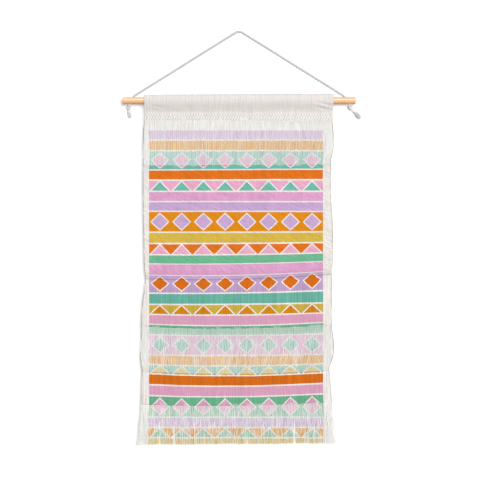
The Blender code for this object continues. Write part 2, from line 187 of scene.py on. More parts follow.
# The wall takes the hanging's shadow. Only a view from the front shows it, so it hides no back view.
wall_paint, tree = new_material("wall_paint")
facing = node(tree, "NewGeometry").outputs["Backfacing"]
seen = node(tree, "LightPath").outputs["Is Camera Ray"]
front_only = Value(seen).then("SUBTRACT", facing, clamp=True)
paint = node(tree, "BsdfDiffuse", {"Color": (WALL_PAINT, WALL_PAINT, WALL_PAINT, 1)})
glow = node(tree, "Emission", {"Strength": WALL_GLOW})
lit = node(tree, "AddShader", {0: paint, 1: glow})
clear = node(tree, "BsdfTransparent")
finish_with(tree, node(tree, "MixShader", {0: front_only, 1: clear, 2: lit}))
low, high = (-WALL_WIDTH / 2, WALL_Y, -FLOOR_DROP), (WALL_WIDTH / 2, WALL_Y, WALL_TOP)
wall = plane("wall", low, high, wall_paint)


def linked(name, objects, state):
    """A collection of what a light lights or is blocked by, or leaves out."""
    made = bpy.data.collections.new(name)
    for number, thing in enumerate(objects):
        made.objects.link(thing)
        made.collection_objects[number].light_linking.link_state = state
    return made


lamps["key_light"].light_linking.receiver_collection = linked("lit_by_key", [wall], "EXCLUDE")
lamps["wall_light"].light_linking.receiver_collection = linked("lit_by_wall_light", [wall], "INCLUDE")

# The floor looks pale yet throws little light up, as if dark cloth lay outside the view
floor_paint, tree = new_material("floor_paint")
seen = node(tree, "LightPath").outputs["Is Camera Ray"]
pale = node(tree, "BsdfDiffuse", {"Color": FLOOR_PALE})
dim = node(tree, "BsdfDiffuse", {"Color": FLOOR_DIM})
finish_with(tree, node(tree, "MixShader", {0: seen, 1: dim, 2: pale}))
low, high = (-FLOOR_REACH, -FLOOR_REACH, -FLOOR_DROP), (FLOOR_REACH, FLOOR_REACH, -FLOOR_DROP)
plane("floor", low, high, floor_paint)


# The cord: white cotton, three plies laid up to the right, each spun from fine yarns. It runs from the
# hole near one end of the dowel over the hang point to the hole near the other end.
CORD_RADIUS = 2.25 * MM
CORD_LAY = 17 * MM
CORD_PLIES = 3
CORD_GROOVE = 0.30
CORD_SIDES = 30
CORD_STEP = 0.9 * MM
CURVE_STEPS = 40
SHARP_EDGE = math.radians(60)
# Half of the route, from the apex to the hole's foot: x and z in millimetres. The rest mirrors it.
HALF_ROUTE = (
    (0.0, 2.25), (2.8, 1.87), (5.6, 0.66), (8.1, -0.9), (14.0, -4.6), (35.3, -17.9), (56.5, -31.1),
    (98.9, -57.6), (141.3, -84.0), (171.0, -102.6), (178.2, -107.1), (181.6, -109.2),
    (183.3, -110.5), (184.5, -112.1), (187.3, -116.4), (189.6, -119.95), (191.8, -123.35),
)


def linear(red, green, blue):
    """The linear colour of three 8-bit values."""
    shares = [value / 255 for value in (red, green, blue)]
    return tuple(s / 12.92 if s <= 0.04045 else ((s + 0.055) / 1.055) ** 2.4 for s in shares) + (1.0,)


def mixed(tree, share, first, second, mode="MIX"):
    """The output of a colour mix."""
    inputs = {0: share, 6: first, 7: second}
    return node(tree, "Mix", inputs, data_type="RGBA", blend_type=mode).outputs[2]


def through(points, t):
    """The point at t, from 0 to 1, on a Catmull-Rom curve through the points."""
    last = len(points) - 1
    place = min(max(t, 0.0), 1.0) * last
    i = min(int(place), last - 1)
    f = place - i
    p1, p2 = points[i], points[i + 1]
    p0 = points[i - 1] if i else p1 * 2 - p2
    p3 = points[i + 2] if i + 2 <= last else p2 * 2 - p1
    return (
        p1
        + (p2 - p0) * (0.5 * f)
        + (p0 * 2 - p1 * 5 + p2 * 4 - p3) * (0.5 * f * f)
        + (p1 * 3 - p0 - p2 * 3 + p3) * (0.5 * f * f * f)
    )


def evenly_along(points, step):
    """Points about one step apart on the smooth curve through the points, with both ends."""
    count = len(points) * CURVE_STEPS
    samples = np.array([through(points, i / count) for i in range(count + 1)])
    travelled = np.concatenate(([0.0], np.cumsum(np.linalg.norm(np.diff(samples, axis=0), axis=1))))
    wanted = np.linspace(0, travelled[-1], max(2, round(travelled[-1] / step)) + 1)
    columns = [np.interp(wanted, travelled, column) for column in samples.T]
    return np.stack(columns, axis=1)


class Skin:
    """Gathers tubes and grids of points into one mesh with two texture maps: "cloth", the place on the
    flat cloth, and "yarn", the distance along a yarn and the turns round it, counted on from its number."""

    def __init__(self):
        self.points = []
        self.faces = []
        self.slots = []
        self.maps = {"cloth": [], "yarn": []}
        self.count = 0

    def take(self, points, quads, cloth, yarn, slot):
        self.points.append(points)
        self.faces += (quads + self.count).tolist()
        self.slots += [slot] * len(quads)
        self.maps["cloth"].append(cloth)
        self.maps["yarn"].append(yarn)
        self.count += len(points)

    def grid(self, points, places, flip=False, slot=0):
        """An open grid of points, with the place of each on the flat cloth."""
        rows, columns = points.shape[:2]
        numbers = np.arange(rows * columns).reshape(rows, columns)
        corners = [numbers[:-1, :-1], numbers[:-1, 1:], numbers[1:, 1:], numbers[1:, :-1]]
        quads = np.stack(corners[::-1] if flip else corners, axis=-1).reshape(-1, 4)
        flat = places.reshape(-1, 2)[quads].reshape(-1, 2)
        self.take(points.reshape(-1, 3), quads, flat, flat, slot)

    def tube(self, line, radii, sides, number=0, places=None, twist=0.0, lobes=0, groove=0.0, slot=0):
        """A closed tube along a line, round or lobed. The twist is in turns a metre."""
        count = len(line)
        along = np.concatenate(([0.0], np.cumsum(np.linalg.norm(np.diff(line, axis=0), axis=1))))
        tangents = np.gradient(line, along, axis=0)
        tangents /= np.linalg.norm(tangents, axis=1)[:, None]
        side = np.cross(tangents[0], (0.0, 1.0, 0.0) if abs(tangents[0][1]) < 0.9 else (1.0, 0.0, 0.0))
        across = []
        for tangent in tangents:
            side = side - tangent * side.dot(tangent)
            side /= np.linalg.norm(side)
            across.append(side)
        across = np.array(across)
        other = np.cross(tangents, across)
        turns = np.arange(sides) / sides
        lobed = 1 - groove * (1 - np.abs(np.cos(lobes * np.pi * turns)))
        angles = 2 * np.pi * (turns[None, :] + twist * along[:, None])
        reach = (np.ones(count) * radii)[:, None] * lobed[None, :]
        points = (
            np.asarray(line)[:, None, :]
            + (reach * np.cos(angles))[:, :, None] * across[:, None, :]
            + (reach * np.sin(angles))[:, :, None] * other[:, None, :]
        )
        numbers = np.arange(count * sides).reshape(count, sides)
        after = np.roll(numbers, -1, axis=1)
        quads = np.stack([numbers[:-1], after[:-1], after[1:], numbers[1:]], axis=-1).reshape(-1, 4)
        ring, step = np.divmod(np.arange((count - 1) * sides), sides)
        low, high = along[ring], along[ring + 1]
        here, there = number + step / sides, number + (step + 1) / sides
        yarn = np.stack([low, here, low, there, high, there, high, here], axis=-1).reshape(-1, 2)
        if places is None:
            places = np.zeros((count, 2))
        cloth = places[quads // sides].reshape(-1, 2)
        self.take(points.reshape(-1, 3), quads, cloth, yarn, slot)
        for cap, row in ((numbers[0][::-1], 0), (numbers[-1], count - 1)):
            self.faces.append((cap + self.count - count * sides).tolist())
            self.slots.append(slot)
            self.maps["cloth"].append(np.repeat(places[row][None, :], sides, axis=0))
            self.maps["yarn"].append(np.repeat([[along[row], number + 0.5]], sides, axis=0))

    def made(self, name, finishes):
        """The object, with one material for each slot."""
        mesh = bpy.data.meshes.new(name)
        mesh.from_pydata(np.concatenate(self.points).tolist(), [], self.faces)
        for finish in finishes:
            mesh.materials.append(finish)
        mesh.polygons.foreach_set("material_index", self.slots)
        for map_name, values in self.maps.items():
            layer = mesh.uv_layers.new(name=map_name)
            layer.data.foreach_set("uv", np.concatenate(values).astype(np.float32).ravel())
        mesh.shade_smooth()
        mesh.set_sharp_from_angle(angle=SHARP_EDGE)
        made = bpy.data.objects.new(name, mesh)
        scene.collection.objects.link(made)
        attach(made, "root")
        return made


def new_group(name, inputs, outputs):
    """An empty shader node group: its tree, what it is given and what it puts out, by name."""
    group = bpy.data.node_groups.new(name, "ShaderNodeTree")
    for label, value in inputs.items():
        group.interface.new_socket(label, in_out="INPUT", socket_type="NodeSocketFloat").default_value = value
    for label, kind in outputs.items():
        group.interface.new_socket(label, in_out="OUTPUT", socket_type="NodeSocket" + kind)
    return group, group.nodes.new("NodeGroupInput").outputs, group.nodes.new("NodeGroupOutput").inputs


def speckle(tree, place, scale, detail, roughness=0.5):
    """Soft noise at a place, with one scale or a scale along each axis."""
    if isinstance(scale, tuple):
        place, scale = node(tree, "Mapping", {"Vector": place, "Scale": scale}), 1.0
    inputs = {"Vector": place, "Scale": scale, "Detail": detail, "Roughness": roughness}
    return Value(node(tree, "TexNoise", inputs).outputs["Fac"])


# The cord is painted a darker white than its knots and their ends, as painted shade
CORD_SHADED_WHITE = linear(213, 213, 213)
# How it is spun: the run of a fibre's turn, the fibres or yarns round it, their relief, the grooves' painted
# shade
TWIST_SIZES = ("Slant", "Fibres Round", "Relief", "Groove Shade")
CORD_TWIST = (1.7 * MM, 15.0, 0.25 * MM, 0.86)
LINT_SCALES = (900.0, 7.0, 1.0)
LINT_HEIGHT = 0.35
FIBRE_STRENGTH = 0.8

# Spun cotton, on every cord and yarn: slanting fibres in relief, lint, and grooves painted a little darker as
# painted shade
spun, given, put = new_group(
    "spun_cotton",
    dict(zip(TWIST_SIZES, CORD_TWIST)),
    {"Shade": "Float", "Yarn Chance": "Float", "Normal": "Vector"},
)
yarn = node(spun, "UVMap", uv_map="yarn")
along, around, _ = parts(spun, yarn)
turns = around * given["Fibres Round"] + along / given["Slant"]
fibre = abs((turns * math.pi).then("SINE"))
height = speckle(spun, yarn, LINT_SCALES, 3.0) * LINT_HEIGHT + fibre
relief = node(spun, "Bump", {"Height": height, "Distance": given["Relief"], "Strength": FIBRE_STRENGTH})
groove = given["Groove Shade"]
by_number = node(spun, "TexWhiteNoise", {"W": around.then("FLOOR")}, noise_dimensions="1D")
join(fibre * (1.0 - Value(groove)) + groove, put["Shade"])
join(by_number.outputs["Value"], put["Yarn Chance"])
join(relief, put["Normal"])


def spun_twist(tree, sizes):
    """What the spun cotton puts out at these sizes."""
    return node(tree, "Group", dict(zip(TWIST_SIZES, sizes)), node_tree=spun).outputs


def surface(tree, colour, roughness, normal, constants):
    """Ends a material in its shader, with the constants on the shader's own sockets."""
    inputs = {"Base Color": colour, "Roughness": roughness, "Normal": normal, **constants}
    finish_with(tree, node(tree, "BsdfPrincipled", inputs))


def white_cotton(name, white, sizes):
    """Undyed white cotton, spun at these sizes."""
    made, tree = new_material(name)
    twist = spun_twist(tree, sizes)
    colour = mixed(tree, 1.0, white, twist["Shade"], "MULTIPLY")
    surface(tree, colour, 0.88, twist["Normal"], {"Specular IOR Level": 0.2})
    return made


shaded_cord_cotton = white_cotton("white_cotton_cord_painted_shade", CORD_SHADED_WHITE, CORD_TWIST)

right = [np.array((x * MM, 0.0, z * MM)) for x, z in HALF_ROUTE]
left = [point * (-1, 1, 1) for point in reversed(right[1:])]
cord_line = evenly_along(left + right, CORD_STEP)
skin = Skin()
skin.tube(cord_line, CORD_RADIUS, CORD_SIDES, twist=1 / CORD_LAY, lobes=CORD_PLIES, groove=CORD_GROOVE)
cord = skin.made("twisted_cord", [shaded_cord_cotton])
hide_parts("cord")


# The knots: the cord's ends, tied under the dowel in an overhand knot each, with a short free end that
# has opened into its yarns. Made of the same cord, pulled tight so that it is a little thinner there.
KNOT_DROP = 129.7 * MM
KNOT_X = 193.4 * MM
KNOT_SCALE = 1.42 * MM
KNOT_CORD_RADIUS = 1.8 * MM
# The cord's way through the knot, in knot scales from its middle: right, back and up
KNOT_ROUTE = (
    (0.15, 0.35, 2.9), (-1.1, 1.0, 0.6), (-2.2, -0.2, -1.6), (-0.2, -2.0, -2.3), (2.2, -0.9, -0.7),
    (1.7, 1.4, 1.3), (-0.6, 1.9, 1.9), (-2.3, 0.1, 1.4), (-0.9, -1.9, 0.5), (1.0, -0.9, -1.6),
    (0.5, 0.2, -3.3),
)
LEFT_END = ((-192.9, -136.0), (-191.9, -140.0), (-191.1, -144.0), (-190.4, -149.3))
RIGHT_END = ((196.9, -134.8), (201.6, -138.9), (206.6, -143.9), (211.6, -149.8))
HOLE_FOOT = (191.7 * MM, -123.2 * MM)
KNOT_STEP = 0.8 * MM
# The drops between which the cord is pulled tight, and the run over which it thins
TIGHT_FROM = 124 * MM
TIGHT_TO = 137 * MM
TIGHT_EASE = 3 * MM
# How far below its middle the knot ends
KNOT_FOOT = 4.5 * MM
OPEN_YARNS = 42
OPEN_YARN_RADIUS = 0.45 * MM
# The angle from one opened yarn to the next
YARN_ANGLE = 2.399963
# How far down each free end begins to open, and how wide it gets
LEFT_OPENS = 0.05
RIGHT_OPENS = 0.36
LEFT_REACH = 3.9 * MM
RIGHT_REACH = 5.0 * MM
# The yarns part from a little before that, over this much of the end. Each reaches out more or less,
# unwinds and drifts, and the outer ones end higher, in steps of the line.
PARTS_BEFORE = 0.12
PARTS_OVER = 0.42
REACH_UNEVEN = (0.88, 1.08)
END_FLATNESS = 0.85
UNWINDS = 0.7
YARN_DRIFT = 0.22 * MM
DRIFT_TURN = (5, 9)
END_ROUNDING = 2.6
# The knots and their opened ends are painted a paler white than the cord, as painted light, though they are
# the same cotton
KNOT_LIT_WHITE = linear(230, 230, 230)
KNOT_TWIST = (1.7 * MM, 15.0, 0.25 * MM, 0.9)
OPENED_TWIST = (1.6 * MM, 2.0, 0.07 * MM, 0.9)
lit_knot_cotton = white_cotton("white_cotton_knot_painted_light", KNOT_LIT_WHITE, KNOT_TWIST)
lit_opened_cotton = white_cotton("opened_cotton_yarn_painted_light", KNOT_LIT_WHITE, OPENED_TWIST)


def knotted_end(name, side, route, opens, widest, seed):
    """One end of the cord from the foot of its hole, through its knot, to its opened yarns."""
    chance = random.Random(seed)
    skin = Skin()
    middle = np.array((side * KNOT_X, 0.0, -KNOT_DROP))
    way = [np.array((side * HOLE_FOOT[0], 0.0, HOLE_FOOT[1]))]
    way += [middle + np.array((side * x, y, z)) * KNOT_SCALE for x, y, z in KNOT_ROUTE]
    way += [np.array((x * MM, 0.0, z * MM)) for x, z in route]
    line = evenly_along(way, KNOT_STEP)
    free = np.array([point for point in line if point[2] < -KNOT_DROP - KNOT_FOOT])
    solid = line[: len(line) - int(len(free) * (1 - opens))]
    drop = -solid[:, 2]
    tight = np.clip((drop - TIGHT_FROM) / TIGHT_EASE, 0, 1) * np.clip((TIGHT_TO - drop) / TIGHT_EASE, 0, 1)
    radii = CORD_RADIUS + (KNOT_CORD_RADIUS - CORD_RADIUS) * tight
    skin.tube(solid, radii, CORD_SIDES, twist=1 / CORD_LAY, lobes=CORD_PLIES, groove=CORD_GROOVE)
    tail = line[len(line) - len(free) :]
    along = np.linspace(0, 1, len(tail))
    heading = tail[-1] - tail[0]
    heading /= np.linalg.norm(heading)
    back = np.array((0.0, 1.0, 0.0))
    across = np.cross(heading, back)
    opened = np.clip((along - opens + PARTS_BEFORE) / PARTS_OVER, 0, 1)
    wound = 2 * np.pi * along * len(tail) * KNOT_STEP / CORD_LAY * (1 - UNWINDS * along)
    for n in range(OPEN_YARNS):
        spread = math.sqrt((n + 0.5) / OPEN_YARNS)
        core = CORD_RADIUS * spread
        splay = (widest - OPEN_YARN_RADIUS) * spread * chance.uniform(*REACH_UNEVEN)
        reach = core + (splay - core) * opened * opened * (3 - 2 * opened)
        turn = YARN_ANGLE * n + wound
        drift = np.sin(along * chance.uniform(*DRIFT_TURN) + n) * YARN_DRIFT * along
        sideways = (np.cos(turn) * reach + drift)[:, None] * across
        backwards = (np.sin(turn) * reach * END_FLATNESS)[:, None] * back
        last = len(tail) - round(END_ROUNDING * spread**3) - chance.randint(0, 1)
        skin.tube((tail + sideways + backwards)[:last], OPEN_YARN_RADIUS, 6, number=n + 1, slot=1)
    knot = skin.made(name + "_tied", [lit_knot_cotton, lit_opened_cotton])
    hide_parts(name)
    return knot


knots = [
    knotted_end("knot_left", -1, LEFT_END, LEFT_OPENS, LEFT_REACH, 3),
    knotted_end("knot_right", 1, RIGHT_END, RIGHT_OPENS, RIGHT_REACH, 5),
]
# The thin cord and its ends leave no shadow on the wall
thin = linked("leaves_no_shadow", [cord, *knots], "EXCLUDE")
lamps["wall_light"].light_linking.blocker_collection = thin


# The dowel: a half-inch rod of pale hardwood, sawn to length, with eased ends and a clear matt varnish.
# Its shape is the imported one; the grain runs along it and shows as rings on its ends.
WOOD_LIGHT = linear(252, 208, 163)
WOOD_DARK = linear(238, 178, 124)
WOOD_PORE = linear(190, 128, 80)
# How fine the figure of the wood is, in a metre along the dowel and across it
STREAK_SCALES = (9.0, 420.0, 420.0)
RING_SCALES = (6.0, 1000.0, 1000.0)
PORE_SCALES = (90.0, 2600.0, 2600.0)
RING_SHIFT = (0.0, 0.006, 0.112)
RINGS = {"Scale": 0.22, "Distortion": 2.6, "Detail": 2.0, "Detail Scale": 0.4}
STREAK_SHARE = 0.65
PORE_LIMITS = (0.30, 0.36)
PORE_DEPTH = 0.35
END_FACING = 0.8
END_DEPTH = 0.3
GRAIN_RELIEF = 0.05 * MM
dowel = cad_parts["dowel"]
dowel_wood, tree = new_material("varnished_dowel_wood")
place = node(tree, "TexCoord").outputs["Object"]
streaks = speckle(tree, place, STREAK_SCALES, 5.0, 0.6)
ring_place = node(tree, "Mapping", {"Vector": place, "Location": RING_SHIFT, "Scale": RING_SCALES})
rings = node(tree, "TexWave", {"Vector": ring_place, **RINGS}, wave_type="RINGS", rings_direction="X")
pores = graded(tree, speckle(tree, place, PORE_SCALES, 1.0), *PORE_LIMITS, 1.0, 0.0)
grain = streaks * STREAK_SHARE + Value(rings.outputs["Fac"]) * (1 - STREAK_SHARE)
colour = mixed(tree, grain, WOOD_LIGHT, WOOD_DARK)
colour = mixed(tree, pores * PORE_DEPTH, colour, WOOD_PORE)
end_grain = abs(parts(tree, node(tree, "NewGeometry").outputs["True Normal"])[0]) > END_FACING
colour = mixed(tree, end_grain * END_DEPTH, colour, WOOD_PORE)
relief = node(tree, "Bump", {"Height": grain, "Distance": GRAIN_RELIEF, "Strength": 0.5})
roughness = grain * 0.10 + 0.30 + end_grain * 0.3
surface(tree, colour, roughness, relief, {"Coat Weight": 0.5, "Coat Roughness": 0.2})
dowel.data.materials.clear()
dowel.data.materials.append(dowel_wood)


# The cloth: one length of natural cotton, woven close in three parts with bare warp left between them.
# Its top is turned over the dowel and sewn down as a sleeve, and its face is printed.
SHEET = 1.2 * MM
SETBACK = 0.9 * MM
CLOSE = 1.8 * MM
GAP = 0.3 * MM
COLUMNS = 150
ROW_STEP = 2.0 * MM
DOWEL_RADIUS = 6.35 * MM
DOWEL_DROP = 118.25 * MM
SLEEVE_TOP = np.array((-165.2, 164.8)) * MM
SLEEVE_PEAK = np.array((10.6, 12.4)) * MM
SLEEVE_PEAK_START = math.radians(15)
ARC_STEPS = 30
FALL_STEPS = 14
HEM_TOP = 141.0
HEM_END = 152.0
HEM_OVERLAP = 1.0
HEM_START = 1.2
HEM_PROUD = 0.3 * MM
HEM_STEPS = 7
EDGE_SOFTNESS = 3.5
RAGGED_DEPTH = 0.8 * MM
RAGGED_SCALE = 90
# Unevenness in the sleeve and on the face: pairs of a size and a depth
SLEEVE_RUMPLE = ((17 * MM, 0.7 * MM), (6 * MM, 0.26 * MM))
FACE_RUMPLE = ((14 * MM, 0.5 * MM), (5 * MM, 0.15 * MM))
Row = namedtuple("Row", "drop_left drop_middle drop_right left right")
# Lines across the cloth, in millimetres: their drops at the left, the middle and the right, and both edges
CLOTH_ROWS = (
    Row(141.0, 141.0, 141.0, -163.9, 163.6),
    Row(152.0, 152.0, 152.0, -165.3, 163.1),
    Row(169.5, 169.5, 169.5, -167.1, 164.5),
    Row(192.2, 192.2, 192.2, -167.4, 165.7),
    Row(214.9, 214.9, 214.9, -167.4, 162.2),
    Row(231.4, 230.6, 229.7, -167.4, 160.4),
    Row(284.6, 284.6, 284.6, -167.4, 160.4),
    Row(335.2, 335.2, 335.2, -166.6, 163.4),
    Row(405.0, 405.0, 400.0, -165.3, 163.4),
    Row(428.5, 429.4, 420.7, -163.4, 161.8),
    Row(441.0, 441.0, 434.0, -164.3, 161.8),
    Row(474.7, 474.7, 472.0, -168.6, 161.8),
    Row(512.3, 515.7, 508.8, -170.6, 161.8),
    Row(530.5, 531.5, 529.0, -171.3, 164.3),
    Row(548.0, 549.0, 547.0, -172.0, 165.7),
    Row(563.7, 565.5, 562.5, -173.2, 164.5),
    Row(579.5, 582.5, 578.0, -171.3, 159.6),
    Row(590.7, 595.1, 589.0, -169.5, 157.5),
    Row(620.0, 623.0, 617.0, -170.2, 159.9),
    Row(648.3, 650.0, 643.9, -171.1, 162.0),
)
FRINGE_END_ROW = Row(718.0, 717.0, 715.5, -180.2, 169.9)
Fold = namedtuple("Fold", "x drop slope half_length half_width depth")
# Soft troughs and ridges across the face, in millimetres, and how far back each moves it
FOLDS = (
    Fold(-60.0, 428.5, 0.005, 130.0, 9.0, 1.6),
    Fold(105.0, 426.0, -0.09, 75.0, 9.0, 1.4),
    Fold(-158.0, 430.0, -0.20, 26.0, 12.0, 1.8),
    Fold(-5.0, 470.0, 0.0, 170.0, 32.0, -1.2),
    Fold(-5.0, 553.0, 0.0, 190.0, 30.0, 1.5),
    Fold(20.0, 190.0, 0.03, 150.0, 30.0, -1.3),
    Fold(150.0, 250.0, 0.0, 40.0, 60.0, 1.4),
    Fold(-172.0, 560.0, 0.0, 22.0, 40.0, 1.8),
    Fold(166.0, 550.0, 0.0, 22.0, 36.0, -1.6),
)
Ripple = namedtuple("Ripple", "x drop half_length half_width pitch depth")
# Small puckers pulled into the front of the sleeve. They fall by a quarter to the right.
RIPPLE_SLANT = 0.25
SLEEVE_FRONT_Y = -3 * MM
RIPPLES = (
    Ripple(147.0, 129.5, 13.0, 8.0, 8.5, 1.5),
    Ripple(156.0, 133.0, 6.0, 8.0, 3.8, 0.6),
    Ripple(-139.0, 131.0, 16.0, 6.0, 9.0, 0.5),
)
Wave = namedtuple("Wave", "height length phase drift")
WAVES = (Wave(0.9, 118.0, 0.8, 210.0), Wave(0.5, 61.0, 0.0, -130.0))
WAVES_SETTLE = 60.0
# The woven parts of the face below the hem, from drop to drop, and the crease in the first
MAIN_PART = (230.6, 515.7)
FOOT_PART = (595.1, 650.0)
WOVEN_PARTS = (MAIN_PART, FOOT_PART)
CREASE = 429.5
FLAT_LEFT = -167.0 * MM
FLAT_WIDTH = 329.0 * MM


def row_at(drop):
    """The three drops and two edges, in metres, of the line whose middle drop in mm is this."""
    table = np.array(CLOTH_ROWS)
    middles = table[:, 1]
    i = int(np.clip(np.searchsorted(middles, drop, side="right") - 1, 0, len(table) - 2))
    share = (drop - middles[i]) / (middles[i + 1] - middles[i])
    found = through(list(table), (i + min(max(share, 0.0), 1.0)) / (len(table) - 1))
    return found * MM


def drape(x, drop):
    """How far the middle of the cloth stands back from the dowel's plane, in metres."""
    x, drop = x / MM, drop / MM
    below = np.maximum(0.0, drop - HEM_END)
    settled = np.minimum(1.0, below / WAVES_SETTLE)
    back = 0.0
    for wave in WAVES:
        turn = 2 * np.pi * x / wave.length + wave.phase + below / wave.drift
        back = back + settled * wave.height * np.sin(turn)
    for fold in FOLDS:
        along = (x - fold.x) / fold.half_length
        across = (drop - fold.drop - fold.slope * (x - fold.x)) / fold.half_width
        back = back + fold.depth * np.exp(-(along**4)) * np.exp(-(across**2))
    return back * MM


def bowed(left, middle, right, u):
    """The number at u on the bow through those at the left, the middle and the right."""
    return left * (2 * u - 1) * (u - 1) + middle * 4 * u * (1 - u) + right * u * (2 * u - 1)


def cloth_line(drop, u, proud=0.0):
    """Points across the cloth's middle surface at this drop, for the shares u of its width."""
    *drops, left, right = row_at(drop)
    x = left + (right - left) * u
    bow = bowed(*drops, u)
    return np.stack([x, drape(x, bow) - SETBACK - proud, -bow], axis=-1)


def flat_places(line, drop):
    """Where a line across the cloth at this drop lies on the flat cloth."""
    return np.stack([line[:, 0], np.full(len(line), drop * MM)], axis=-1)


def rumple(points, layers):
    """Small unevenness, as a move back for each point."""
    flat = points.reshape(-1, 3)
    moves = [np.array([noise.noise(Vector(point / size)) for point in flat]) * deep for size, deep in layers]
    return sum(moves).reshape(points.shape[:-1])


def ragged_edge(row):
    """How far each place along a woven edge stands out."""
    return np.array([noise.noise(Vector((u * RAGGED_SCALE, row, 0))) for u in shares]) * RAGGED_DEPTH


def sheet_of(skin, middles, places):
    """Front, back and edges of a sheet whose middle surface is a grid of points, top row first."""
    down = np.gradient(middles, axis=0)
    across = np.gradient(middles, axis=1)
    normal = np.cross(down, across)
    normal /= np.linalg.norm(normal, axis=2)[:, :, None]
    front = middles + normal * SHEET / 2
    back = middles - normal * SHEET / 2
    skin.grid(front, places, flip=True)
    skin.grid(back, places, slot=1)
    first, last = np.s_[0:1], np.s_[-1:]
    sides = ((0, first, False), (0, last, True), (1, np.s_[:, first], True), (1, np.s_[:, last], False))
    for axis, edge, flip in sides:
        strip = np.concatenate([front[edge], back[edge]], axis=axis)
        marks = np.concatenate([places[edge], places[edge]], axis=axis)
        skin.grid(strip, marks, flip)


def sleeve_profile(u):
    """The sleeve's middle surface at u, from the back hem's top over the dowel to the front hem's."""
    bottom = np.array(CLOTH_ROWS[0][3:]) * MM
    peak = SLEEVE_PEAK[0] + (SLEEVE_PEAK[1] - SLEEVE_PEAK[0]) * u
    clear = DOWEL_RADIUS + GAP
    rise = peak - clear - CLOSE
    fall = HEM_TOP * MM - DOWEL_DROP
    skin_depth = CLOSE - SHEET / 2
    points = []
    for n in range(FALL_STEPS):
        share = n / FALL_STEPS
        out = clear * (1 - math.cos(math.pi * share)) / 2 + skin_depth
        points.append((out, fall * (share - 1)))
    for n in range(ARC_STEPS + 1):
        angle = math.pi * n / ARC_STEPS
        up = min(angle, math.pi - angle)
        share = max(0.0, (up - SLEEVE_PEAK_START) / (math.pi / 2 - SLEEVE_PEAK_START))
        reach = clear + rise * (1 - math.cos(math.pi * share)) / 2 + skin_depth
        points.append((reach * math.cos(angle), reach * math.sin(angle)))
    points += [(-out, up) for out, up in reversed(points[:FALL_STEPS])]
    found = []
    for out, up in points:
        edges = SLEEVE_TOP + (bottom - SLEEVE_TOP) * min(1.0, max(0.0, (peak - up) / (peak + fall)))
        found.append((edges[0] + (edges[1] - edges[0]) * u, out, up - DOWEL_DROP))
    return found


shares = np.linspace(0, 1, COLUMNS + 1)
skin = Skin()
sleeve = np.array([sleeve_profile(u) for u in shares]).transpose(1, 0, 2)
hem_drops = np.linspace(HEM_END + HEM_OVERLAP, HEM_TOP + HEM_START, HEM_STEPS)
back_hem = np.array([cloth_line(drop, shares, -SETBACK - SHEET / 2) for drop in hem_drops])
prouder = np.linspace(SHEET / 2 - HEM_PROUD, 0.0, HEM_STEPS)
front_hem = np.array([cloth_line(drop, shares, proud) for drop, proud in zip(hem_drops[::-1], prouder)])
front_hem[:, :, 2] -= np.linspace(0, 1, HEM_STEPS)[:, None] ** 3 * ragged_edge(0)
top_part = np.concatenate([back_hem, sleeve, front_hem])
top_part[:, :, 1] += rumple(top_part, SLEEVE_RUMPLE)
x, drop = top_part[:, :, 0] / MM, -top_part[:, :, 2] / MM
for ripple in RIPPLES:
    off = np.hypot((x - ripple.x) / ripple.half_length, (drop - ripple.drop) / ripple.half_width)
    wave = np.sin(2 * np.pi * (drop - RIPPLE_SLANT * x) / ripple.pitch)
    front = top_part[:, :, 1] < SLEEVE_FRONT_Y
    top_part[:, :, 1] += front * np.exp(-(off**2)) * ripple.depth * MM * wave
steps = np.linalg.norm(np.diff(top_part[:, COLUMNS // 2], axis=0), axis=1)
run = np.concatenate(([0.0], np.cumsum(steps)))
flat_drops = (HEM_END + HEM_OVERLAP) * MM - run[-1] + run
places = np.stack([top_part[:, :, 0], np.repeat(flat_drops[:, None], COLUMNS + 1, axis=1)], axis=-1)
sheet_of(skin, top_part, places)
woven_length = run[-1]
for top, bottom in WOVEN_PARTS:
    drops = np.linspace(top, bottom, round((bottom - top) * MM / ROW_STEP) + 1)
    ragged = ragged_edge(top)
    rows, marks = [], []
    for drop in drops:
        near_top = math.exp(-(drop - top) / EDGE_SOFTNESS)
        near_bottom = math.exp(-(bottom - drop) / EDGE_SOFTNESS)
        line = cloth_line(drop, shares)
        marks.append(flat_places(line, drop))
        line[:, 2] += ragged * (near_top - near_bottom)
        rows.append(line)
    middles = np.array(rows)
    middles[:, :, 1] += rumple(middles, FACE_RUMPLE)
    sheet_of(skin, middles, np.array(marks))
    woven_length += (bottom - top) * MM

# The selvedges: at each side the weft turns back round the last warp yarns in small even loops
SELVEDGE_RADIUS = 0.75 * MM
SELVEDGE_INSET = 0.7 * MM
SELVEDGE_LOOP = 2.7
SELVEDGE_STEP = 0.65
SELVEDGE_BULGE = 0.2 * MM
SELVEDGE_SWELL = (0.8, 0.35)
for u, outward in ((0.0, -1), (1.0, 1)):
    for top, bottom in ((HEM_TOP - 0.5, HEM_END),) + WOVEN_PARTS:
        drops = np.linspace(top, bottom, round((bottom - top) / SELVEDGE_STEP) + 1)
        line = np.array([cloth_line(drop, np.array([u]))[0] for drop in drops])
        bulge = np.abs(np.sin(np.pi * drops / SELVEDGE_LOOP))
        marks = np.stack([line[:, 0], drops * MM], axis=-1)
        line[:, 0] += outward * (SELVEDGE_BULGE * bulge - SELVEDGE_INSET)
        radii = SELVEDGE_RADIUS * (SELVEDGE_SWELL[0] + SELVEDGE_SWELL[1] * bulge)
        skin.tube(line, radii, 8, number=int(u) + 1, places=marks, slot=2)

# The print: rows of plain bars, lozenges and triangles between hairlines of bare cloth, in a straight-
# edged panel that runs on through the bare warp and the fringe
PANEL_LEFT = -157.0 * MM
PANEL_RIGHT = 146.5 * MM
PANEL_TOP = 168.0 * MM
ROW_PITCH = 17.9 * MM
ROWS_A_BLOCK = 6
PRINT_ROWS = 31
TILE = (PANEL_RIGHT - PANEL_LEFT) / 8
HAIRLINE = 0.14
